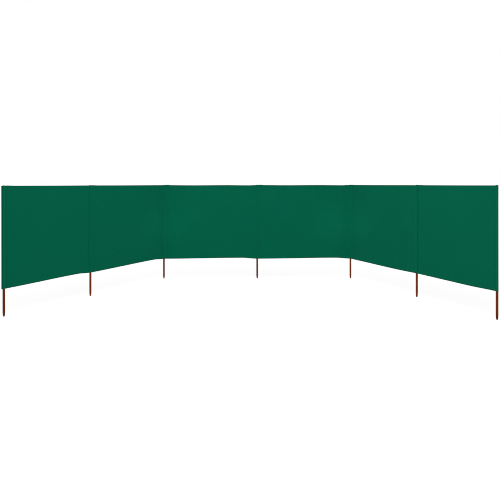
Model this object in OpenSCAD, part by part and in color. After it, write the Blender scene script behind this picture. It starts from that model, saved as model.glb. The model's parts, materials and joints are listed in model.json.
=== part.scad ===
// Beach windbreak: six bays of cloth between seven wooden poles, in millimetres.
// +Z is up and the sheltered side faces -Y. The poles count from 1 to 7, left to right as seen from
// that side, and bay k runs from pole k to pole k + 1. The origin is at the blunt tip of pole 4, the
// middle pole. Bays 3 and 4 stand in one line, and the two wings stand forward of them.

/* [Layout] */
// Distance between two poles of the four inner bays, axis to axis
inner_bay_w = 1500; // [600:10:2400]
// Distance between the two poles of each end bay, axis to axis
end_bay_w = 1260; // [600:10:2400]
// Angle by which the left wing stands forward of the middle bays
left_wing_angle = 58.5; // [0:0.5:75]
// Angle by which the right wing stands forward of the middle bays
right_wing_angle = 65.5; // [0:0.5:75]

/* [Cloth] */
// Height of the cloth at a pole, lower edge to upper edge
cloth_h = 1185; // [400:5:1600]
// Thickness of the cloth between the hems
cloth_t = 1.2; // [0.8:0.1:2]
// Height of the folded hem along the upper and the lower edge
hem_h = 50; // [20:1:80]
// Thickness of a folded hem
hem_t = 2.4; // [1:0.1:4]
// How far the upper edge hangs below the pole tops midway along a bay
top_sag = 4; // [0:1:15]
// How far the lower edge is drawn up at its highest point, in the left wing and the middle bays
lower_rise = 14; // [0:1:25]
// Place of that highest point, as a share of the bay from its left pole
rise_peak = 0.84; // [0.1:0.01:0.9]
// How far the lower edge hangs down at its lowest point, in the right wing
right_wing_sag = 6; // [0:1:25]
// Place of that lowest point, as a share of the bay from its left pole
sag_peak = 0.7; // [0.1:0.01:0.9]

/* [Pole pockets] */
// Wall of a pocket, which is the cloth that wraps the pole
pocket_wall = 1.2; // [0.8:0.1:2]
// Thickness of the closed top of a pocket
pocket_top_t = 2; // [1:0.1:4]
// Gap between a pole and the pocket round it
pocket_gap = 0.3; // [0.2:0.05:1]
// Gap between a pocket and the cloth of the bays beside it
seam_gap = 0.3; // [0.2:0.05:1]
// Width of the sewn flap outboard of the pocket of pole 1
left_flap_w = 14.5; // [2:0.5:60]
// Width of the sewn flap outboard of the pocket of pole 7
right_flap_w = 2.5; // [2:0.5:60]

/* [Poles] */
// Diameter of a pole
pole_d = 28; // [20:1:40]
// Length of pole below the cloth
foot_l = 315; // [150:5:600]
// Length of the tapered point of a pole
tip_l = 42; // [20:1:80]
// Diameter of the blunt end of the point
tip_d = 18; // [4:1:24]
// Chamfer round the upper end of a pole
top_chamfer = 1.5; // [0.5:0.5:3]
// Gap between a pole's upper end and the closed top of its pocket
top_gap = 0.5; // [0.2:0.1:5]

/* [Hidden] */
$fn = 64;
cloth_colour = "#075c43";
seam_colour = "#06533c";
wood_colour = "#6b3a20";
// Straight pieces that make up the curved edge of one bay
edge_steps = 16;
middle_pole = 4;
poles = [1:7];
bays = [1:6];
total_h = foot_l + cloth_h;
pole_l = total_h - pocket_top_t - top_gap;
bore_d = pole_d + 2 * pocket_gap;
pocket_d = bore_d + 2 * pocket_wall;
// Where a bay's cloth begins and ends, from the axes of its poles
cloth_start = pocket_d / 2 + seam_gap;

function is_end_bay(k) = k == 1 || k == 6;
function is_middle_bay(k) = k == 3 || k == 4;
function bay_w(k) = is_end_bay(k) ? end_bay_w : inner_bay_w;
function heading(k) = is_middle_bay(k) ? 0 : k < 3 ? left_wing_angle : -right_wing_angle;
function bay_vector(k) = bay_w(k) * [cos(heading(k)), sin(heading(k))];
function pole_place(k) =
    k == middle_pole ? [0, 0]
    : k > middle_pole ? pole_place(k - 1) + bay_vector(k - 1)
    : pole_place(k + 1) - bay_vector(k);

// The way that an end pocket's flap points, out along its wing. The other pockets have no flap.
function outboard(k) = k == 1 ? 180 + heading(1) : k == 7 ? heading(6) : 0;

// A soft curve that climbs from 0 at both ends of a bay to 1 at peak.
function ease(x) = x * x * (3 - 2 * x);
function hump(t, peak) = t < peak ? ease(t / peak) : ease((1 - t) / (1 - peak));

// Heights of the two edges of bay k, where t goes from 0 at its left pole to 1 at its right pole.
function upper_edge(k, t) = total_h - top_sag * sin(180 * t);
function lower_edge(k, t) =
    foot_l + (k > middle_pole ? -right_wing_sag * hump(t, sag_peak) : lower_rise * hump(t, rise_peak));

module at_pole(k) {
    translate(pole_place(k)) children();
}

// Stands an outline drawn along bay k upright between its poles.
module upright(k, thickness) {
    translate(pole_place(k)) rotate(heading(k)) rotate([90, 0, 0])
        linear_extrude(thickness, center = true) children();
}

// The outline of bay k between two edges, whose heights are the lists low and high.
module strip(k, low, high) {
    length = bay_w(k) - 2 * cloth_start;
    place = [for (i = [0:edge_steps]) cloth_start + length * i / edge_steps];
    polygon(concat(
        [for (i = [0:edge_steps]) [place[i], low[i]]],
        [for (i = [edge_steps:-1:0]) [place[i], high[i]]]
    ));
}

function upper_edges(k, drop) = [for (i = [0:edge_steps]) upper_edge(k, i / edge_steps) - drop];
function lower_edges(k, lift) = [for (i = [0:edge_steps]) lower_edge(k, i / edge_steps) + lift];

// A turned pole with a tapered, blunt point and a chamfered upper end.
module pole(k) {
    r = pole_d / 2;
    at_pole(k) color(wood_colour) rotate_extrude() polygon([
        [0, 0],
        [tip_d / 2, 0],
        [r, tip_l],
        [r, pole_l - top_chamfer],
        [r - top_chamfer, pole_l],
        [0, pole_l]
    ]);
}

// The flat flap of cloth that is sewn shut outboard of an end pole. It begins halfway through the
// pocket's wall, and w is its width outside the pocket.
module flap(w) {
    root = pocket_wall / 2;
    translate([pocket_d / 2 - root, -cloth_t / 2, 0]) cube([root + w, cloth_t, cloth_h]);
}

// A closed-topped tube of cloth round a pole. The end pockets carry a flap outboard.
module pocket(k) {
    at_pole(k) rotate(outboard(k)) translate([0, 0, foot_l]) color(seam_colour) {
        rotate_extrude() polygon([
            [bore_d / 2, 0],
            [pocket_d / 2, 0],
            [pocket_d / 2, cloth_h],
            [0, cloth_h],
            [0, cloth_h - pocket_top_t],
            [bore_d / 2, cloth_h - pocket_top_t]
        ]);
        if (k == 1) flap(left_flap_w);
        if (k == 7) flap(right_flap_w);
    }
}

module panel(k) {
    color(cloth_colour) upright(k, cloth_t) strip(k, lower_edges(k, hem_h), upper_edges(k, hem_h));
}

module top_hem(k) {
    color(cloth_colour) upright(k, hem_t) strip(k, upper_edges(k, hem_h), upper_edges(k, 0));
}

module bottom_hem(k) {
    color(cloth_colour) upright(k, hem_t) strip(k, lower_edges(k, 0), lower_edges(k, hem_h));
}

for (k = poles) {
    pole(k);
    pocket(k);
}
for (k = bays) {
    panel(k);
    top_hem(k);
    bottom_hem(k);
}
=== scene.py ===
"""Beach windbreak: six bays of green woven cloth between seven stained wooden poles.

Lengths are in metres, +Z is up and the sheltered side faces -Y. A bay's cloth, hems, seams and
stitches are made flat, with x running from the bay's left pole and z up from the tips of the poles,
and are then hung together between the two poles.
"""

import json
import math

import bmesh
import bpy
from mathutils import Matrix, Vector, noise


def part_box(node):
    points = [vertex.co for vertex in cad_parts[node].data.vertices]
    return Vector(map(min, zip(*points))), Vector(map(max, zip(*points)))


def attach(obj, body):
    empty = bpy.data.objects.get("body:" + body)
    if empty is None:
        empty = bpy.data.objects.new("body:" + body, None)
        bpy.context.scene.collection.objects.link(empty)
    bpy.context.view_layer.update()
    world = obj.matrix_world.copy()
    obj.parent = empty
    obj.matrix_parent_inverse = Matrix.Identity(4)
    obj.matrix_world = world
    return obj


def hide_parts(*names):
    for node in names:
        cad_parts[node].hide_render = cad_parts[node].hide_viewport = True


bl_info = {
    "name": "Beach Windbreak",
    "version": (1, 0, 0),
    "blender": (4, 5, 0),
    "location": "View3D > Sidebar > Windbreak",
    "description": "Bays of woven cloth on wooden poles, with hems, sleeves, seams and stitching",
    "category": "Object",
}

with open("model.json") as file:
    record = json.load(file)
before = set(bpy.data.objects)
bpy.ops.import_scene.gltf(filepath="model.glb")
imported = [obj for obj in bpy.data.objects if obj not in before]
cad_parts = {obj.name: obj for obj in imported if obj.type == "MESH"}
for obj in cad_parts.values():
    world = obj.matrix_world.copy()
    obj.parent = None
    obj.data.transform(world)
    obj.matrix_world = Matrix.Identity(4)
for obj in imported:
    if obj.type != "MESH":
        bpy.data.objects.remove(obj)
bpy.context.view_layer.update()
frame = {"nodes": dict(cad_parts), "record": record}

POLES = range(1, 8)
BAYS = range(1, 7)
MIDDLE_POLE = 4
MIDDLE_BAYS = (3, 4)
RIGHT_WING = (5, 6)
# Each end pole, with the bay beside it and the way that its flap points along that bay
END_POLES = {1: (1, -1), 7: (6, 1)}
# The pole in each inner corner, with the share of the fill power that lights that corner
INNER_CORNERS = {3: 0.85, 5: 1.0}
TIPS = {mount["name"]: Vector(mount["pos_m"]) for mount in frame["record"]["mounts"]}
BODY_OF = {
    node: body
    for body, nodes in frame["record"]["behaviour"]["bodies"].items()
    for node in nodes
}
CLOTH_FOOT, CLOTH_TOP = (corner.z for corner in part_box(f"pocket_{MIDDLE_POLE}"))
CLOTH_HEIGHT = CLOTH_TOP - CLOTH_FOOT
POLE_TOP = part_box(f"pole_{MIDDLE_POLE}")[1].z
WEAVE_MAP = "Weave"
# How light each weave is, where the single cloth is 1
WEAVES = {
    "Green weave": 1.0,
    "Hemmed weave": 1.0,
    # The doubled seams and the sleeves are painted lighter than the single cloth, to offset the
    # shade in the crevices beside the poles.
    "Doubled weave painted light": 1.08,
    "Sleeve weave painted light": 1.09,
    # The end flaps are painted darker than the single cloth, as painted shade.
    "Flap weave painted shade": 0.85,
}
WHITE = (1.0, 1.0, 1.0, 1.0)
# How deep an edge of cloth is caught in the face of a sleeve
CAUGHT = 0.0006
# How far a seam stops short of the cloth's lower and upper edges
SEAM_SHORT = 0.001
# How far stitches stand from the turned edge of a hem and from a sleeve
STITCH_MARGIN = 0.006
# How far stitches stand from the inner edge of a seam, and from the second row in an end seam
SEAM_MARGIN = 0.004
ROW_GAP = 0.005
# Least width of a flap that has two rows of stitches, and how far the outer one is from its edge
WIDE_FLAP = 0.01
FLAP_MARGIN = 0.0035
# How far an upright row of stitches stops short of the cloth's lower and upper edges
ROW_SHORT = 0.01
# Axes of a flat shape, along the bay and up the cloth
ALONG, UP = 0, 2
# Distances between the points of a flat shape, along the bay, up the cloth and up a hem
STEP_ALONG = 0.01
STEP_UP = 0.02
HEM_STEP_UP = 0.016
# Angle between two faces above which the edge stays sharp
SHARP_ANGLE = math.radians(40)
# Distance within which two points are taken as one
TINY = 1e-6
# Width of the camera's sensor, in millimetres
SENSOR_WIDTH = 36.0


# ---------------------------------------------------------------- settings


def size(name, description, default, low, high):
    """A length that a user may change."""
    return bpy.props.FloatProperty(
        name=name, description=description, default=default, min=low, max=high,
        unit="LENGTH", precision=4,
    )


def share(name, description, default, low=0.0, high=1.0):
    """A plain number that a user may change."""
    return bpy.props.FloatProperty(
        name=name, description=description, default=default, min=low, max=high, precision=3,
    )


def colour(name, description, default):
    """A colour that a user may change."""
    return bpy.props.FloatVectorProperty(
        name=name, description=description, subtype="COLOR", size=3, min=0.0, max=1.0,
        default=default,
    )


class ClothSettings(bpy.types.PropertyGroup):
    """Sizes and colours of the cloth, its hems, sleeves, seams and thread."""

    thickness: size("Cloth Thickness", "Thickness of the single cloth", 0.0009, 0.0003, 0.003)
    hem_height: size("Hem Height", "Height of the folded hems", 0.05, 0.02, 0.08)
    hem_thickness: size("Hem Thickness", "Thickness of a folded hem", 0.0022, 0.001, 0.005)
    seam_width: size("Seam Width", "Width of the doubled cloth beside a sleeve", 0.017, 0.008, 0.04)
    end_seam_width: size(
        "End Seam Width", "Width of the doubled cloth inside an end pole", 0.09, 0.01, 0.2,
    )
    seam_thickness: size(
        "Seam Thickness", "Thickness of the doubled cloth in a seam", 0.0028, 0.001, 0.0036,
    )
    sleeve_radius: size("Sleeve Radius", "Outer radius of a sleeve", 0.0155, 0.015, 0.016)
    sleeve_wall: size("Sleeve Wall", "Thickness of a sleeve's cloth", 0.0008, 0.0003, 0.0012)
    sleeve_dome: size("Sleeve Dome", "Rise of a sleeve's closed top", 0.004, 0.003, 0.01)
    wrinkle_depth: size("Wrinkle Depth", "Depth of a sleeve's wrinkles", 0.00015, 0.0, 0.0005)
    lower_rise: size(
        "Lower Rise", "Rise of the lower edge, left of the right wing", 0.014, 0.0, 0.025,
    )
    rise_peak: share(
        "Rise Peak", "Place of that highest point, as a share of the bay", 0.84, 0.1, 0.9,
    )
    right_wing_sag: size(
        "Right Wing Sag", "Sag of the right wing's lower edge", 0.006, 0.0, 0.025,
    )
    sag_peak: share("Sag Peak", "Place of that lowest point, as a share of the bay", 0.7, 0.1, 0.9)
    top_sag: size("Top Sag", "Depth of the dips in a middle bay's upper edge", 0.0045, 0.0, 0.015)
    wing_top_sag: size(
        "Wing Top Sag", "Depth of the dip in a wing bay's upper edge", 0.001, 0.0, 0.015,
    )
    corner_lift: size(
        "Corner Lift", "Rise of the upper edge just right of a pole", 0.0045, 0.0, 0.01,
    )
    belly: size("Belly", "How far the middle of a bay stands out of line", 0.007, 0.0, 0.03)
    fold_depth: size(
        "Fold Depth", "Depth of the upright folds beside the poles", 0.0012, 0.0, 0.005,
    )
    crease_depth: size(
        "Crease Depth", "Depth of the creases at a bay's corners", 0.0008, 0.0, 0.005,
    )
    uneven_depth: size("Uneven Depth", "Depth of the cloth's broad waves", 0.003, 0.0, 0.01)
    pucker_depth: size("Pucker Depth", "Depth of the gathers along the hems", 0.0005, 0.0, 0.003)
    groove_depth: size("Groove Depth", "Depth of the groove along an end seam", 0.0025, 0.0, 0.005)
    colour: colour("Cloth Colour", "Dye of the cloth", (0.0010, 0.1096, 0.0576))
    # How much darker the cloth is made in a band along its folded edges, and how wide that band is
    fold_darkening: share("Fold Darkening", "How much grime darkens the folds of the hems", 0.42)
    fold_darkening_width: size("Fold Darkening Width", "Width of the band of grime along a fold", 0.014, 0.001, 0.05)
    thread_colour: colour("Thread Colour", "Dye of the sewing thread", (0.0008, 0.062, 0.034))
    thread_pitch: size(
        "Weave Pitch", "Distance between two threads of the weave", 0.0012, 0.0004, 0.003,
    )
    stitch_pitch: size("Stitch Pitch", "Distance between two stitches", 0.008, 0.003, 0.015)
    stitch_length: size("Stitch Length", "Length of one stitch", 0.0058, 0.002, 0.014)
    stitch_radius: size("Stitch Radius", "Radius of the sewing thread", 0.00045, 0.0002, 0.001)


class PoleSettings(bpy.types.PropertyGroup):
    """Sizes and colours of the wooden poles."""

    radius: size("Pole Radius", "Radius of a pole", 0.014, 0.01, 0.02)
    tip_length: size("Point Length", "Length of the tapered point", 0.042, 0.02, 0.08)
    tip_radius: size("Point Radius", "Radius of the blunt end of the point", 0.009, 0.002, 0.012)
    untrue_depth: size("Untrue Depth", "How far a pole is out of true", 0.0002, 0.0, 0.001)
    stain: colour("Stain", "Colour of the stained wood", (0.168, 0.031, 0.0088))
    dark_grain: colour(
        "Dark Grain", "Colour of the dark grain and the point", (0.068, 0.013, 0.004),
    )
    bare_wood: colour(
        "Bare Wood", "Colour of the wood where sand has worn it", (0.330, 0.110, 0.042),
    )


class StageSettings(bpy.types.PropertyGroup):
    """The floor, the light and the camera."""

    floor_radius: size("Floor Radius", "Radius of the pale floor", 60.0, 5.0, 200.0)
    floor_tone: share("Floor Tone", "How pale the floor is", 0.85)
    floor_glow: share("Floor Glow", "Strength of the white that the camera sees", 1.07, 0.0, 2.0)
    sky_strength: share("Sky Strength", "Strength of the even light from all round", 0.75, 0.0, 2.0)
    softbox_power: share(
        "Softbox Power", "Watts of the large soft lamp above the bays", 75.0, 0.0, 500.0,
    )
    softbox_size: size("Softbox Size", "Side of the large soft lamp", 3.0, 0.5, 10.0)
    front_strength: share(
        "Front Strength", "Strength of the soft light from the front", 0.3, 0.0, 5.0,
    )
    back_strength: share("Back Strength", "Strength of the soft light from behind", 0.45, 0.0, 5.0)
    sun_spread: bpy.props.FloatProperty(
        name="Light Spread", description="Angle over which the front and back light spread",
        default=math.radians(60), subtype="ANGLE",
    )
    fill_power: share("Fill Power", "Watts of the soft lamp in each inner corner", 1.62, 0.0, 20.0)
    fill_radius: size("Fill Radius", "Radius of a corner's lamp", 0.3, 0.05, 1.0)
    fill_reach: size("Fill Reach", "How far a corner's lamp stands from its pole", 0.38, 0.1, 2.0)
    fill_height: size("Fill Height", "Height of a corner's lamp", 0.88, 0.1, 2.0)
    camera_place: bpy.props.FloatVectorProperty(
        name="Camera Place", description="Where the camera stands", subtype="TRANSLATION", size=3,
        default=(-0.1145, -8.2217, 1.5204),
    )
    lens: share("Lens", "Focal length in millimetres, on a sensor 36 mm wide", 36.8, 10.0, 200.0)
    shift: share("Shift", "Upward shift of the lens, as a share of the width", -0.1325, -1.0, 1.0)
    roll: bpy.props.FloatProperty(
        name="Roll", description="Clockwise roll of the camera", default=math.radians(0.05),
        subtype="ANGLE",
    )


# ---------------------------------------------------------------- shader maths


class Wire:
    """A shader socket that takes part in Python sums. Each sum of values adds its Math node."""

    def __init__(self, tree, socket=None):
        self.tree = tree
        self.socket = socket

    def node(self, kind, settings=None, values=None, output=0):
        """Adds a node, with its settings set first, and then the values or links of its sockets."""
        made = self.tree.nodes.new(kind)
        for name, value in (settings or {}).items():
            setattr(made, name, value)
        for name, value in (values or {}).items():
            if isinstance(value, Wire):
                self.tree.links.new(value.socket, made.inputs[name])
            else:
                made.inputs[name].default_value = value
        return Wire(self.tree, made.outputs[output] if made.outputs else None)

    def math(self, operation, *others):
        """A Math node with this value first."""
        values = dict(enumerate((self, *others)))
        return self.node("ShaderNodeMath", {"operation": operation}, values)

    def math_after(self, operation, first):
        """A Math node with this value second."""
        return self.node("ShaderNodeMath", {"operation": operation}, {0: first, 1: self})

    def __add__(self, other):
        return self.math("ADD", other)

    def __sub__(self, other):
        return self.math("SUBTRACT", other)

    def __mul__(self, other):
        return self.math("MULTIPLY", other)

    def __rsub__(self, other):
        return self.math_after("SUBTRACT", other)

    __radd__ = __add__
    __rmul__ = __mul__

    def part(self, axis):
        """The X, Y or Z of these coordinates."""
        return self.node("ShaderNodeSeparateXYZ", None, {"Vector": self}, axis)

    def stretched(self, *scale):
        """These coordinates, scaled along each axis."""
        return self.node("ShaderNodeMapping", None, {"Vector": self, "Scale": scale})

    def noise(self, scale=1.0, detail=2.0, roughness=0.5):
        """Soft noise from 0 to 1 at these coordinates."""
        values = {"Vector": self, "Scale": scale, "Detail": detail, "Roughness": roughness}
        return self.node("ShaderNodeTexNoise", None, values)

    def between(self, low, high):
        """A soft step, from 0 at low to 1 at high."""
        values = {"Value": self, "From Min": low, "From Max": high}
        return self.node("ShaderNodeMapRange", {"interpolation_type": "SMOOTHSTEP"}, values)

    def mix(self, low, high):
        """A colour that goes from low to high as this value goes from 0 to 1."""
        # A Mix node has a socket for each kind of value. The colours are 6, 7 and output 2.
        return self.node("ShaderNodeMix", {"data_type": "RGBA"}, {0: self, 6: low, 7: high}, 2)

    def shade(self, tint):
        """A colour, made darker or lighter by this value."""
        values = {"Vector": tint, "Scale": self}
        return self.node("ShaderNodeVectorMath", {"operation": "SCALE"}, values)

    def relief(self, strength, distance):
        """A surface normal that follows this height."""
        values = {"Strength": strength, "Distance": distance, "Height": self}
        return self.node("ShaderNodeBump", None, values)


def start_tree(owner):
    """Empties the node tree of a material or world, and gives the wire that adds its nodes."""
    owner.use_nodes = True
    owner.node_tree.nodes.clear()
    return Wire(owner.node_tree)


def shared(name, make, *values):
    """The material of that name, made at its first use."""
    found = bpy.data.materials.get(name)
    if found is None:
        found = bpy.data.materials.new(name)
        make(start_tree(found), *values)
    return found


def principled(wire, values):
    """Adds the shader of a surface, and the output."""
    shader = wire.node("ShaderNodeBsdfPrincipled", None, values)
    wire.node("ShaderNodeOutputMaterial", None, {"Surface": shader})


def camera_sees(wire):
    """1 for what the camera sees, in mirrors and glass too, and 0 for what lights the object."""
    rays = ("Is Camera Ray", "Is Glossy Ray", "Is Transmission Ray")
    direct, glossy, clear = (wire.node("ShaderNodeLightPath", output=ray) for ray in rays)
    return direct.math("MAXIMUM", glossy).math("MAXIMUM", clear)


# ---------------------------------------------------------------- materials


def woven_cloth(wire, cloth, tone):
    """Plain-woven polyester, with slubs, a faint mottle in the dye, painted shade in the gaps
    between its threads, and a darker band along its folded edges.
    """
    place = wire.node("ShaderNodeUVMap", {"uv_map": WEAVE_MAP})
    turns = math.pi / cloth.thread_pitch
    warp = (place.part("X") * turns).math("SINE")
    weft = (place.part("Y") * turns).math("SINE")
    warp_on_top = (warp * weft).math("GREATER_THAN", 0.0)
    threads = warp_on_top * warp.math("ABSOLUTE") + (1 - warp_on_top) * weft.math("ABSOLUTE")
    slubs = place.stretched(14, 420, 1).noise() + place.stretched(420, 14, 1).noise()
    crumple = place.noise(35.0, 3.0)
    mottle = place.noise(2.2, 4.0)
    # The weave is painted darker in the gaps between its threads, as painted shade. tone paints the
    # sleeves and seams lighter, as painted light, and the flaps darker, as painted shade. The slubs
    # and the mottle are the cloth's own.
    dye_and_painted_light = tone * (0.77 + 0.08 * threads + 0.14 * slubs + 0.08 * mottle)
    # The cloth is made darker in a band along its upper and lower folded edges.
    from_middle = (place.part("Y") - (CLOTH_FOOT + CLOTH_TOP) / 2).math("ABSOLUTE")
    fold_darkening = from_middle.between(CLOTH_HEIGHT / 2 - cloth.fold_darkening_width, CLOTH_HEIGHT / 2)
    principled(wire, {
        "Base Color": (dye_and_painted_light * (1 - cloth.fold_darkening * fold_darkening)).shade(cloth.colour),
        "Roughness": 0.80 + 0.08 * slubs,
        "Specular IOR Level": 0.02,
        "Sheen Weight": 0.03,
        "Sheen Roughness": 0.5,
        "Sheen Tint": (0.10, 0.9, 0.62, 1.0),
        "Normal": (0.4 * threads + 0.3 * slubs + crumple).relief(0.6, 0.001),
    })


def weave(name, cloth):
    """The woven cloth of that name."""
    return shared(name, woven_cloth, cloth, WEAVES[name])


def sewing_thread(wire, cloth):
    """Twisted polyester thread, a little darker and smoother than the cloth."""
    twist = wire.node("ShaderNodeTexCoord", output="Object").noise(900.0)
    principled(wire, {
        "Base Color": (0.85 + 0.3 * twist).shade(cloth.thread_colour),
        "Roughness": 0.5 + 0.2 * twist,
        "Specular IOR Level": 0.1,
    })


def stained_wood(wire, pole):
    """Stained pine dowel, with long fibres, dark grain, a dark point, and scuffs from the sand."""
    place = wire.node("ShaderNodeTexCoord", output="Object")
    fibres = place.stretched(1, 1, 0.03).noise(650.0, 4.0, 0.6)
    grain = place.stretched(1, 1, 0.05).noise(150.0, 3.0).between(0.38, 0.66)
    blotches = place.stretched(1, 1, 0.25).noise(28.0)
    scuffs = place.stretched(1, 1, 0.3).noise(210.0, 5.0, 0.7).between(0.60, 0.72)
    point = 1 - place.part("Z").between(0.004, pole.tip_length * 1.4)
    darkness = (0.60 * grain + 0.50 * fibres + 0.40 * point - 0.2).math("MINIMUM", 1.0)
    wood = darkness.math("MAXIMUM", 0.0).mix((*pole.stain, 1.0), (*pole.dark_grain, 1.0))
    worn = (scuffs * (0.12 + 0.25 * point)).mix(wood, (*pole.bare_wood, 1.0))
    principled(wire, {
        "Base Color": (0.86 + 0.28 * blotches).shade(worn),
        "Roughness": 0.55 + 0.25 * fibres + 0.1 * scuffs,
        "Specular IOR Level": 0.02,
        "Normal": (0.7 * fibres + 0.5 * grain + 0.4 * scuffs).relief(0.35, 0.0006),
    })


def studio_floor(wire, stage):
    """A pale floor that reads as white wherever no shadow falls."""
    place = wire.node("ShaderNodeTexCoord", output="Object")
    reach = wire.node("ShaderNodeVectorMath", {"operation": "LENGTH"}, {0: place}, "Value")
    # Near the poles the floor keeps a part of their shadow.
    near, far = 3.2, 6.5
    glow = camera_sees(wire) * (0.80 + 0.20 * reach.between(near, far))
    tone = stage.floor_tone
    pale = wire.node("ShaderNodeBsdfDiffuse", None, {"Color": (tone, tone, tone, 1.0)})
    white = wire.node("ShaderNodeEmission", None, {"Color": WHITE, "Strength": stage.floor_glow})
    both = wire.node("ShaderNodeMixShader", None, {0: glow, 1: pale, 2: white})
    wire.node("ShaderNodeOutputMaterial", None, {"Surface": both})


# ---------------------------------------------------------------- shapes


def finished(name, bm, material):
    """Makes a smooth-shaded piece of a bmesh. Its object sits at the origin."""
    mesh = bpy.data.meshes.new(name)
    bm.to_mesh(mesh)
    bm.free()
    mesh.materials.append(material)
    mesh.shade_smooth()
    mesh.set_sharp_from_angle(angle=SHARP_ANGLE)
    piece = bpy.data.objects.new(name, mesh)
    bpy.context.scene.collection.objects.link(piece)
    return piece


def give_thickness(piece, thickness, offset):
    """Gives a sheet the thickness of real cloth, with offset 0 for both ways and -1 for inwards."""
    solid = piece.modifiers.new("Thickness", "SOLIDIFY")
    solid.thickness = thickness
    solid.offset = offset


def ease(x):
    """A soft step from 0 at 0 to 1 at 1."""
    return x * x * (3 - 2 * x)


def hump(t, peak):
    """A soft curve that climbs from 0 at both ends of a bay to 1 at peak."""
    return ease(t / peak) if t < peak else ease((1 - t) / (1 - peak))


def pole_place(number):
    """Where the tip of a pole stands."""
    return TIPS["middle_pole_tip" if number == MIDDLE_POLE else f"pole_{number}_tip"]


class Bay:
    """Where one bay stands, and how its flat cut hangs between its two poles.

    x is a distance along the bay and t the share of the bay's width that it makes. height is a
    distance up the cloth and s the share of the cloth's height.
    """

    def __init__(self, number, cloth):
        self.number = number
        self.cloth = cloth
        self.body = BODY_OF[f"panel_{number}"]
        left, right = pole_place(number), pole_place(number + 1)
        line = right - left
        self.width = line.length
        self.stand = Matrix.Translation(left) @ Matrix.Rotation(math.atan2(line.y, line.x), 4, "Z")
        # The cloth runs from one sleeve to the next, and its edge is caught in the sleeve's face.
        self.start = cloth.sleeve_radius - CAUGHT
        self.end = self.width - self.start
        # The inner edges of the two seams, whose doubled cloth is wide beside an end pole
        wide, narrow = cloth.end_seam_width, cloth.seam_width
        self.left_seam_end = self.start + (wide if number in END_POLES else narrow)
        self.right_seam_end = self.end - (wide if number + 1 in END_POLES else narrow)
        # In an end bay, the inner edge of the wide seam and the way from there towards its pole
        self.wide_seam = None
        if number in END_POLES:
            self.wide_seam = (self.left_seam_end, -1)
        elif number + 1 in END_POLES:
            self.wide_seam = (self.right_seam_end, 1)

    def lower_lift(self, t):
        """How far the lower edge is drawn up at a share of the bay, below 0 where it hangs."""
        if self.number in RIGHT_WING:
            return -self.cloth.right_wing_sag * hump(t, self.cloth.sag_peak)
        return self.cloth.lower_rise * hump(t, self.cloth.rise_peak)

    def upper_drop(self, x, t):
        """How far the upper edge hangs: in two dips in a middle bay, and in one in a wing."""
        arch = math.sin(math.pi * t)
        corner_width, corner_peak = 0.13, 0.35
        corner = self.cloth.corner_lift * hump(min(1.0, max(0.0, x) / corner_width), corner_peak)
        if self.number not in MIDDLE_BAYS:
            return self.cloth.wing_top_sag * arch - corner * 0.6
        crest = 0.65
        if t < crest:
            dips = 0.8 * hump(t / crest, 0.5)
        else:
            dips = 1.15 * hump((t - crest) / (1 - crest), 0.75)
        return self.cloth.top_sag * (0.25 * arch + 0.75 * dips) - corner

    def folds(self, x):
        """Soft upright folds that fade away from the poles, from about -2 to 2."""
        total, fade = 0.0, 0.15
        for side, reach in enumerate((x, self.width - x)):
            spacing = 0.085 + 0.012 * ((self.number * 2 + side) % 3)
            total += math.cos(math.tau * reach / spacing) * math.exp(-reach / fade)
        return total

    def creases(self, x, height):
        """Pulled creases that fan out from the four corners, from about -1 to 1."""
        total, spread, creases = 0.0, 0.2, 14
        for corner_x in (0.0, self.width):
            for corner_height in (0.0, CLOTH_HEIGHT):
                aside, away = abs(x - corner_x), abs(height - corner_height)
                reach = math.hypot(aside, away) / spread
                fan = math.sin(creases * math.atan2(away, aside) + self.number + corner_height)
                total += fan * reach * math.exp(1 - reach)
        return total

    def pucker(self, x, height):
        """The gathering of the cloth along the stitches of the hems, from about -1 to 1."""
        line, fade, spacing = self.cloth.hem_height - STITCH_MARGIN, 0.035, 0.062
        beside = min(abs(height - line), abs(CLOTH_HEIGHT - line - height)) / fade
        gathers = math.sin(math.tau * x / spacing + 3 * noise.noise(Vector((x * 4, height, 0))))
        return gathers * math.exp(-beside * beside)

    def groove(self, x):
        """The soft groove that the stitches draw in the cloth of an end seam, from 0 to 1."""
        if not self.wide_seam:
            return 0.0
        line, fade = self.wide_seam[0], 0.014
        return math.exp(-((x - line) / fade) ** 2)

    def bulge(self, x, t, s):
        """How far the cloth stands out of the line of its poles."""
        cloth, height = self.cloth, s * CLOTH_HEIGHT
        belly = cloth.belly * math.sin(math.pi * t) * (0.35 + 0.65 * math.sin(math.pi * s))
        waves = noise.noise(Vector((x * 2.6, height * 1.7, self.number * 5.3)))
        from_sleeve, caught_width = min(x, self.width - x) - self.start, 0.05
        loose = ease(min(1.0, max(0.0, from_sleeve) / caught_width))
        uneven = cloth.uneven_depth * waves
        folds = cloth.fold_depth * self.folds(x)
        creases = cloth.crease_depth * self.creases(x, height)
        pucker = cloth.pucker_depth * self.pucker(x, height)
        groove = cloth.groove_depth * self.groove(x)
        return belly + loose * (folds + creases + uneven + pucker + groove)

    def hang(self, bm):
        """Takes every point of a flat shape to its place in the hung bay."""
        for vert in bm.verts:
            x, y, z = vert.co
            t = min(1.0, max(0.0, x / self.width))
            s = (z - CLOTH_FOOT) / CLOTH_HEIGHT
            z += (1 - s) * self.lower_lift(t) - s * self.upper_drop(x, t)
            vert.co = self.stand @ Vector((x, y + self.bulge(x, t, s), z))
        return bm


def map_weave(bm):
    """Lays the weave on a flat shape, in metres."""
    layer = bm.loops.layers.uv.new(WEAVE_MAP)
    for face in bm.faces:
        for loop in face.loops:
            loop[layer].uv = (loop.vert.co.x, loop.vert.co.z)


def edges_along(bm, axis):
    """The edges that run along an axis."""
    found = []
    for edge in bm.edges:
        run = edge.verts[1].co - edge.verts[0].co
        if abs(run[axis]) > 0.999 * run.length:
            found.append(edge)
    return found


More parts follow.
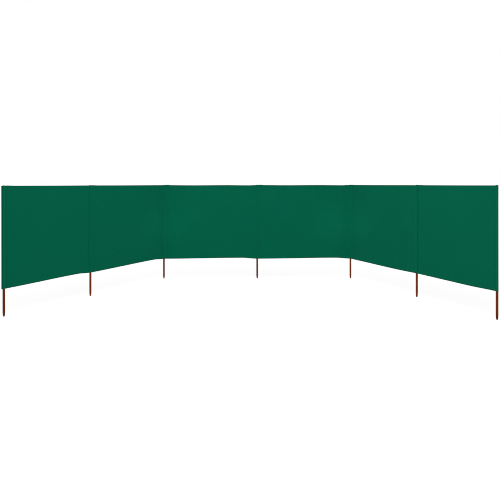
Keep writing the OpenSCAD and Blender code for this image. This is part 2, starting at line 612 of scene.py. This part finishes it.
def round_edges(bm, edges, width, segments):
    """Rounds the given edges."""
    bmesh.ops.bevel(
        bm, geom=edges, offset=width, offset_type="OFFSET", segments=segments, profile=0.5,
        affect="EDGES", material=-1, clamp_overlap=True,
    )


def divide_along(bm, axis, step):
    """Divides a straight shape across, so that it can follow the hung cloth."""
    edges = edges_along(bm, axis)
    longest = max(edge.calc_length() for edge in edges)
    cuts = max(1, round(longest / step) - 1)
    long_edges = [edge for edge in edges if edge.calc_length() > longest / 2]
    bmesh.ops.subdivide_edges(bm, edges=long_edges, cuts=cuts, use_grid_fill=True)


def doubled_strip(low, high, thickness):
    """A flat strip of doubled cloth between two corners of a bay, each (x, z)."""
    bm = bmesh.new()
    across = Vector((high[0] - low[0], thickness, high[1] - low[1]))
    middle = Vector(((low[0] + high[0]) / 2, 0.0, (low[1] + high[1]) / 2))
    bmesh.ops.create_cube(
        bm, size=1.0, matrix=Matrix.Translation(middle) @ Matrix.Diagonal((*across, 1.0)),
    )
    return bm


def hem_shape(bay, upper):
    """A folded hem, round at its fold and thin where it is turned under."""
    cloth = bay.cloth
    half = cloth.hem_thickness / 2
    fold, turned = (
        (CLOTH_TOP, CLOTH_TOP - cloth.hem_height) if upper
        else (CLOTH_FOOT, CLOTH_FOOT + cloth.hem_height)
    )
    low, high = sorted((fold, turned))
    bm = doubled_strip((bay.start, low), (bay.end, high), cloth.hem_thickness)
    for height, width, segments in ((turned, half * 0.5, 1), (fold, half * 0.9, 3)):
        edges = [edge for edge in edges_along(bm, ALONG) if abs(edge.verts[0].co.z - height) < TINY]
        round_edges(bm, edges, width, segments)
    divide_along(bm, UP, HEM_STEP_UP)
    divide_along(bm, ALONG, STEP_ALONG)
    map_weave(bm)
    return bay.hang(bm)


def upright_seam(bay, inner, outer):
    """A strip of doubled cloth that runs up beside a pole, from hem to hem."""
    cloth = bay.cloth
    low, high = sorted((inner, outer))
    bm = doubled_strip(
        (low, CLOTH_FOOT + SEAM_SHORT), (high, CLOTH_TOP - SEAM_SHORT), cloth.seam_thickness,
    )
    round_edges(bm, edges_along(bm, UP), cloth.seam_thickness * 0.3, segments=2)
    divide_along(bm, UP, STEP_UP)
    divide_along(bm, ALONG, STEP_ALONG)
    map_weave(bm)
    return bay.hang(bm)


def single_cloth(bay):
    """The single cloth of a bay, divided finely enough to hold its folds."""
    width = bay.end - bay.start
    height = CLOTH_HEIGHT - bay.cloth.hem_thickness
    middle = Vector(((bay.start + bay.end) / 2, 0.0, (CLOTH_FOOT + CLOTH_TOP) / 2))
    upright = Matrix.Rotation(math.pi / 2, 4, "X") @ Matrix.Diagonal((width, height, 1.0, 1.0))
    bm = bmesh.new()
    bmesh.ops.create_grid(
        bm, x_segments=round(width / STEP_ALONG), y_segments=round(height / STEP_UP), size=0.5,
        matrix=Matrix.Translation(middle) @ upright,
    )
    map_weave(bm)
    return bay.hang(bm)


def lathe(profile, steps, longest=0.03):
    """Spins a profile of (radius, height) points round the upright axis, its long edges cut up."""
    bm = bmesh.new()
    verts = [bm.verts.new((radius, 0.0, height)) for radius, height in profile]
    for lower, upper in zip(verts, verts[1:]):
        bm.edges.new((lower, upper))
    for edge in bm.edges[:]:
        cuts = int(edge.calc_length() / longest)
        if cuts:
            bmesh.ops.subdivide_edges(bm, edges=[edge], cuts=cuts)
    bmesh.ops.spin(
        bm, geom=bm.verts[:] + bm.edges[:], cent=(0.0, 0.0, 0.0), axis=(0.0, 0.0, 1.0),
        dvec=(0.0, 0.0, 0.0), angle=math.tau, steps=steps, use_merge=True,
    )
    bmesh.ops.remove_doubles(bm, verts=bm.verts, dist=TINY)
    bmesh.ops.recalc_face_normals(bm, faces=bm.faces)
    return bm


def push_in(bm, depth):
    """Moves each point towards the upright axis by depth(angle, height)."""
    for vert in bm.verts:
        out = Vector((vert.co.x, vert.co.y, 0.0))
        if out.length > TINY:
            vert.co -= out.normalized() * depth(math.atan2(out.y, out.x), vert.co.z)


def turned_pole(number, pole):
    """A turned dowel with a tapered, blunt point and a softened upper end, not perfectly true."""
    r, tip, length = pole.radius, pole.tip_radius, pole.tip_length
    bm = lathe([
        (0.0, 0.0), (tip * 0.85, 0.0), (tip, 0.0012), (r * 0.82, length * 0.40),
        (r * 0.92, length * 0.76), (r * 0.985, length * 0.98), (r, length * 1.12),
        (r, POLE_TOP - 0.003), (r * 0.95, POLE_TOP - 0.0006), (r * 0.86, POLE_TOP), (0.0, POLE_TOP),
    ], steps=32)

    def untrue(angle, height):
        around = Vector((math.cos(angle) * 0.7, math.sin(angle) * 0.7, height * 6 + number * 9))
        return pole.untrue_depth * (1 + noise.noise(around))

    push_in(bm, untrue)
    bmesh.ops.translate(bm, verts=bm.verts, vec=pole_place(number))
    return bm


def sleeve_shape(number, cloth):
    """The closed-topped tube of cloth round a pole, drawn in at its mouth and softly wrinkled."""
    r, domed = cloth.sleeve_radius, CLOTH_TOP + cloth.sleeve_dome
    low_hem, high_hem = CLOTH_FOOT + cloth.hem_height, CLOTH_TOP - cloth.hem_height
    bm = lathe([
        (r - 0.0006, CLOTH_FOOT), (r, CLOTH_FOOT + 0.0012), (r, low_hem - 0.0005),
        (r - 0.0002, low_hem + 0.0005), (r - 0.0002, high_hem - 0.0005), (r, high_hem + 0.0005),
        (r, CLOTH_TOP - 0.003), (r - 0.001, CLOTH_TOP + 0.0002), (r - 0.004, CLOTH_TOP + 0.0024),
        (r * 0.3, domed - 0.0002), (0.0, domed),
    ], steps=36, longest=0.012)

    def wrinkles(angle, height):
        around = Vector((math.cos(angle) * 1.2, math.sin(angle) * 1.2, height * 30 + number * 7))
        return cloth.wrinkle_depth * (1 + noise.noise(around))

    push_in(bm, wrinkles)
    layer = bm.loops.layers.uv.new(WEAVE_MAP)
    for face in bm.faces:
        middle = face.calc_center_median()
        facing = math.atan2(middle.y, middle.x)
        for loop in face.loops:
            out = loop.vert.co.to_2d()
            angle = math.atan2(out.y, out.x) if out.length > TINY else facing
            turn = facing + math.remainder(angle - facing, math.tau)
            loop[layer].uv = (turn * r, loop.vert.co.z + r - out.length)
    bmesh.ops.translate(bm, verts=bm.verts, vec=pole_place(number))
    return bm


# ---------------------------------------------------------------- stitches


def one_stitch(cloth, place):
    """A bmesh that holds one stitch, a stretched bead of eight faces whose length runs along x."""
    bm = bmesh.new()
    long, thin = cloth.stitch_length / 2, cloth.stitch_radius
    bmesh.ops.create_uvsphere(
        bm, u_segments=4, v_segments=2, radius=1.0,
        matrix=place @ Matrix.Diagonal((long, thin, thin, 1.0)),
    )
    return bm


def repeat(bm, count, step, turn):
    """Repeats a shape, each copy moved by step and turned about the upright axis."""
    bmesh.ops.spin(
        bm, geom=bm.verts[:] + bm.edges[:] + bm.faces[:], cent=(0.0, 0.0, 0.0),
        axis=(0.0, 0.0, 1.0), dvec=step, angle=turn, steps=count - 1, use_duplicate=True,
    )


def add_rows(bm, cloth, length, places):
    """Adds a straight row of stitches at each place. A row runs along the place's x."""
    pitch = cloth.stitch_pitch
    row = one_stitch(cloth, Matrix.Translation((pitch / 2, 0.0, 0.0)))
    repeat(row, int(length / pitch), (pitch, 0.0, 0.0), 0.0)
    mesh = bpy.data.meshes.new("row")
    row.to_mesh(mesh)
    row.free()
    for place in places:
        before = len(bm.verts)
        bm.from_mesh(mesh)
        bm.verts.ensure_lookup_table()
        bmesh.ops.transform(bm, matrix=place, verts=bm.verts[before:])
    bpy.data.meshes.remove(mesh)


def add_upright_rows(bm, cloth, reaches):
    """Adds a row of stitches up both faces of a seam at each distance along the bay."""
    turn_up = Matrix.Rotation(-math.pi / 2, 4, "Y")
    add_rows(bm, cloth, CLOTH_HEIGHT - 2 * ROW_SHORT, [
        Matrix.Translation((x, face * cloth.seam_thickness / 2, CLOTH_FOOT + ROW_SHORT)) @ turn_up
        for x in reaches
        for face in (-1, 1)
    ])


def hem_rows(cloth):
    """The heights of the stitches in the lower and the upper hem."""
    margin = cloth.hem_height - STITCH_MARGIN
    return CLOTH_FOOT + margin, CLOTH_TOP - margin


def bay_stitches(bay):
    """The stitches of a bay on both faces: a row in each hem, and two or three in each seam."""
    cloth = bay.cloth
    bm = bmesh.new()
    add_rows(bm, cloth, bay.right_seam_end - bay.left_seam_end, [
        Matrix.Translation((bay.left_seam_end, face * cloth.hem_thickness / 2, height))
        for height in hem_rows(cloth)
        for face in (-1, 1)
    ])
    reaches = [
        bay.start + STITCH_MARGIN, bay.left_seam_end - SEAM_MARGIN,
        bay.right_seam_end + SEAM_MARGIN, bay.end - STITCH_MARGIN,
    ]
    if bay.wide_seam:
        line, outward = bay.wide_seam
        reaches.append(line + outward * (SEAM_MARGIN + ROW_GAP))
    add_upright_rows(bm, cloth, reaches)
    return bay.hang(bm)


def sleeve_stitches(number, cloth):
    """The two rings of stitches that carry the hems on round a sleeve."""
    bm = bmesh.new()
    count = round(math.tau * cloth.sleeve_radius / cloth.stitch_pitch)
    turn = math.tau / count
    # The thread lies a little way into the sleeve.
    reach = cloth.sleeve_radius - 0.0002
    for height in hem_rows(cloth):
        ring = one_stitch(cloth, Matrix.Translation((0.0, -reach, height)))
        repeat(ring, count, (0.0, 0.0, 0.0), turn * (count - 1))
        mesh = bpy.data.meshes.new("ring")
        ring.to_mesh(mesh)
        ring.free()
        bm.from_mesh(mesh)
        bpy.data.meshes.remove(mesh)
    bmesh.ops.translate(bm, verts=bm.verts, vec=pole_place(number))
    return bm


# ---------------------------------------------------------------- operators


def settle(piece, body, slot, *nodes):
    """Fixes a piece to its body, and lets it stand for nodes of the frame, which it hides. slot is
    not used.
    """
    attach(piece, body)
    if nodes:
        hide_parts(*nodes)


class WINDBREAK_OT_poles(bpy.types.Operator):
    """Make the seven turned wooden poles"""

    bl_idname = "windbreak.poles"
    bl_label = "Poles"

    def execute(self, context):
        pole = context.scene.windbreak_pole
        wood = shared("Stained pine", stained_wood, pole)
        for number in POLES:
            piece = finished(f"turned_pole_{number}", turned_pole(number, pole), wood)
            settle(piece, BODY_OF[f"pole_{number}"], "wood", f"pole_{number}")
        return {"FINISHED"}


class WINDBREAK_OT_flaps(bpy.types.Operator):
    """Make the sewn flaps outboard of the two end poles"""

    bl_idname = "windbreak.flaps"
    bl_label = "End Flaps"

    def execute(self, context):
        cloth = context.scene.windbreak_cloth
        # The flaps' weave is painted darker, as painted shade.
        shaded = weave("Flap weave painted shade", cloth)
        thread = shared("Sewing thread", sewing_thread, cloth)
        for number, (bay_number, side) in END_POLES.items():
            bay, node = Bay(bay_number, cloth), f"pocket_{number}"
            outboard = bay.stand.to_3x3() @ Vector((side, 0.0, 0.0))
            verts = frame["nodes"][node].data.vertices
            reach = max(outboard.dot(vert.co - pole_place(number)) for vert in verts)
            root = cloth.sleeve_radius - CAUGHT
            pole_x = 0.0 if side < 0 else bay.width
            flap = upright_seam(bay, pole_x + side * root, pole_x + side * reach)
            settle(finished(f"end_flap_{number}", flap, shaded), BODY_OF[node], "seam_cloth")
            # A wide flap is sewn along both its edges, and a narrow one along its middle.
            wide = reach - root > WIDE_FLAP
            rows = (root + SEAM_MARGIN, reach - FLAP_MARGIN) if wide else ((root + reach) / 2,)
            stitches = bmesh.new()
            add_upright_rows(stitches, cloth, [pole_x + side * row for row in rows])
            piece = finished(f"flap_stitching_{number}", bay.hang(stitches), thread)
            settle(piece, BODY_OF[node], "seam_cloth")
        return {"FINISHED"}


class WINDBREAK_OT_sleeves(bpy.types.Operator):
    """Make the closed-topped cloth sleeves round the poles"""

    bl_idname = "windbreak.sleeves"
    bl_label = "Sleeves"

    def execute(self, context):
        cloth = context.scene.windbreak_cloth
        # The sleeves' weave is painted lighter, to offset the shade beside the poles.
        sleeve_weave_painted_light = weave("Sleeve weave painted light", cloth)
        thread = shared("Sewing thread", sewing_thread, cloth)
        for number in POLES:
            node = f"pocket_{number}"
            rings = finished(f"sleeve_stitching_{number}", sleeve_stitches(number, cloth), thread)
            settle(rings, BODY_OF[node], "seam_cloth")
            sleeve = finished(f"pole_sleeve_{number}", sleeve_shape(number, cloth), sleeve_weave_painted_light)
            give_thickness(sleeve, cloth.sleeve_wall, offset=-1)
            settle(sleeve, BODY_OF[node], "seam_cloth", node)
            beside = [rings]
            if number in END_POLES:
                beside += [f"end_flap_{number}", f"flap_stitching_{number}"]
        return {"FINISHED"}


class WINDBREAK_OT_hems(bpy.types.Operator):
    """Make the folded hems along both edges of the bays"""

    bl_idname = "windbreak.hems"
    bl_label = "Hems"

    def execute(self, context):
        cloth = context.scene.windbreak_cloth
        hemmed = weave("Hemmed weave", cloth)
        for number in BAYS:
            bay = Bay(number, cloth)
            upper = finished(f"upper_hem_{number}", hem_shape(bay, upper=True), hemmed)
            settle(upper, bay.body, "cloth", f"top_hem_{number}")
            lower = finished(f"lower_hem_{number}", hem_shape(bay, upper=False), hemmed)
            settle(lower, bay.body, "cloth", f"bottom_hem_{number}")
        return {"FINISHED"}


class WINDBREAK_OT_seams(bpy.types.Operator):
    """Make the doubled seams beside the poles, and all the stitching of the bays"""

    bl_idname = "windbreak.seams"
    bl_label = "Seams and Stitching"

    def execute(self, context):
        cloth = context.scene.windbreak_cloth
        # The doubled weave of the seams beside the inner poles is painted lighter, to offset the
        # shade beside the poles.
        doubled, hemmed = weave("Doubled weave painted light", cloth), weave("Hemmed weave", cloth)
        thread = shared("Sewing thread", sewing_thread, cloth)
        for number in BAYS:
            bay = Bay(number, cloth)
            left = upright_seam(bay, bay.start, bay.left_seam_end)
            right = upright_seam(bay, bay.right_seam_end, bay.end)
            for name, shape, pole in (("left", left, number), ("right", right, number + 1)):
                fabric = hemmed if pole in END_POLES else doubled
                seam = finished(f"pole_seam_{number}_{name}", shape, fabric)
                settle(seam, bay.body, "seam_cloth")
            stitches = finished(f"stitching_{number}", bay_stitches(bay), thread)
            settle(stitches, bay.body, "seam_cloth")
        return {"FINISHED"}


class WINDBREAK_OT_cloth(bpy.types.Operator):
    """Make the single cloth of the six bays"""

    bl_idname = "windbreak.cloth"
    bl_label = "Cloth"

    def execute(self, context):
        cloth = context.scene.windbreak_cloth
        green = weave("Green weave", cloth)
        for number in BAYS:
            bay = Bay(number, cloth)
            piece = finished(f"bay_cloth_{number}", single_cloth(bay), green)
            give_thickness(piece, cloth.thickness, offset=0)
            settle(piece, bay.body, "cloth", f"panel_{number}")
        return {"FINISHED"}


def hang_lamp(name, kind, settings, shining, place=(0.0, 0.0, 0.0)):
    """Adds a lamp that the camera doesn't see, at a place and turned to shine the given way."""
    light = bpy.data.lights.new(name, kind)
    for setting, value in settings.items():
        setattr(light, setting, value)
    lamp = bpy.data.objects.new(name, light)
    lamp.location = place
    lamp.rotation_euler = Vector(shining).to_track_quat("-Z", "Y").to_euler()
    lamp.visible_camera = False
    bpy.context.scene.collection.objects.link(lamp)


class WINDBREAK_OT_stage(bpy.types.Operator):
    """Make the pale floor, the soft light, the white backdrop and the camera"""

    bl_idname = "windbreak.stage"
    bl_label = "Stage"

    def execute(self, context):
        stage, scene = context.scene.windbreak_stage, context.scene
        bm = bmesh.new()
        bmesh.ops.create_circle(bm, cap_ends=True, segments=96, radius=stage.floor_radius)
        floor = finished("floor", bm, shared("Studio floor", studio_floor, stage))

        sky = bpy.data.worlds.new("Studio")
        scene.world = sky
        wire = start_tree(sky)
        seen = camera_sees(wire)
        strength = seen + (1 - seen) * stage.sky_strength
        glow = wire.node("ShaderNodeBackground", None, {"Color": WHITE, "Strength": strength})
        wire.node("ShaderNodeOutputWorld", None, {"Surface": glow})

        softbox = {"energy": stage.softbox_power, "size": stage.softbox_size}
        hang_lamp(
            "Softbox", "AREA", softbox, shining=(0.0, 0.0, -1.0), place=(-0.1, -2.6, 4.5),
        )
        front = {"energy": stage.front_strength, "angle": stage.sun_spread}
        hang_lamp("Front", "SUN", front, shining=(0.3, 0.8, -0.5))
        back = {"energy": stage.back_strength, "angle": stage.sun_spread}
        hang_lamp("Back", "SUN", back, shining=(0.1, -0.8, -0.6))
        for number, part in INNER_CORNERS.items():
            corner = pole_place(number)
            left, right = (
                (pole_place(beside) - corner).normalized() for beside in (number - 1, number + 1)
            )
            inward = (left + right).normalized()
            place = corner + stage.fill_reach * inward + Vector((0.0, 0.0, stage.fill_height))
            fill = {"energy": part * stage.fill_power, "shadow_soft_size": stage.fill_radius}
            hang_lamp("Corner fill", "POINT", fill, shining=-inward, place=place)

        lens = bpy.data.cameras.new("Camera")
        lens.sensor_width = SENSOR_WIDTH
        lens.lens = stage.lens
        lens.shift_y = stage.shift
        camera = bpy.data.objects.new("Camera", lens)
        camera.location = stage.camera_place
        camera.rotation_euler = (math.pi / 2, stage.roll, 0.0)
        scene.collection.objects.link(camera)
        scene.camera = camera
        scene.view_settings.view_transform = "Standard"
        scene.cycles.filter_width = 1.0
        return {"FINISHED"}


STEPS = (
    WINDBREAK_OT_poles, WINDBREAK_OT_flaps, WINDBREAK_OT_sleeves, WINDBREAK_OT_hems,
    WINDBREAK_OT_seams, WINDBREAK_OT_cloth, WINDBREAK_OT_stage,
)
SETTINGS = {
    "windbreak_cloth": ClothSettings,
    "windbreak_pole": PoleSettings,
    "windbreak_stage": StageSettings,
}


class WINDBREAK_PT_panel(bpy.types.Panel):
    """Lists the steps that make the windbreak, and its sizes and colours"""

    bl_idname = "WINDBREAK_PT_panel"
    bl_label = "Windbreak"
    bl_space_type = "VIEW_3D"
    bl_region_type = "UI"
    bl_category = "Windbreak"

    def draw(self, context):
        for step in STEPS:
            self.layout.operator(step.bl_idname)
        for name in SETTINGS:
            settings, box = getattr(context.scene, name), self.layout.box()
            for prop in settings.__annotations__:
                box.prop(settings, prop)


def register():
    for kind in (*SETTINGS.values(), *STEPS, WINDBREAK_PT_panel):
        bpy.utils.register_class(kind)
    for name, kind in SETTINGS.items():
        setattr(bpy.types.Scene, name, bpy.props.PointerProperty(type=kind))


def unregister():
    for name in SETTINGS:
        delattr(bpy.types.Scene, name)
    for kind in (WINDBREAK_PT_panel, *reversed(STEPS), *reversed(SETTINGS.values())):
        bpy.utils.unregister_class(kind)


def main():
    register()
    bpy.ops.windbreak.poles()
    bpy.ops.windbreak.flaps()
    bpy.ops.windbreak.sleeves()
    bpy.ops.windbreak.hems()
    bpy.ops.windbreak.seams()
    bpy.ops.windbreak.cloth()
    bpy.ops.windbreak.stage()


if __name__ == "__main__":
    main()
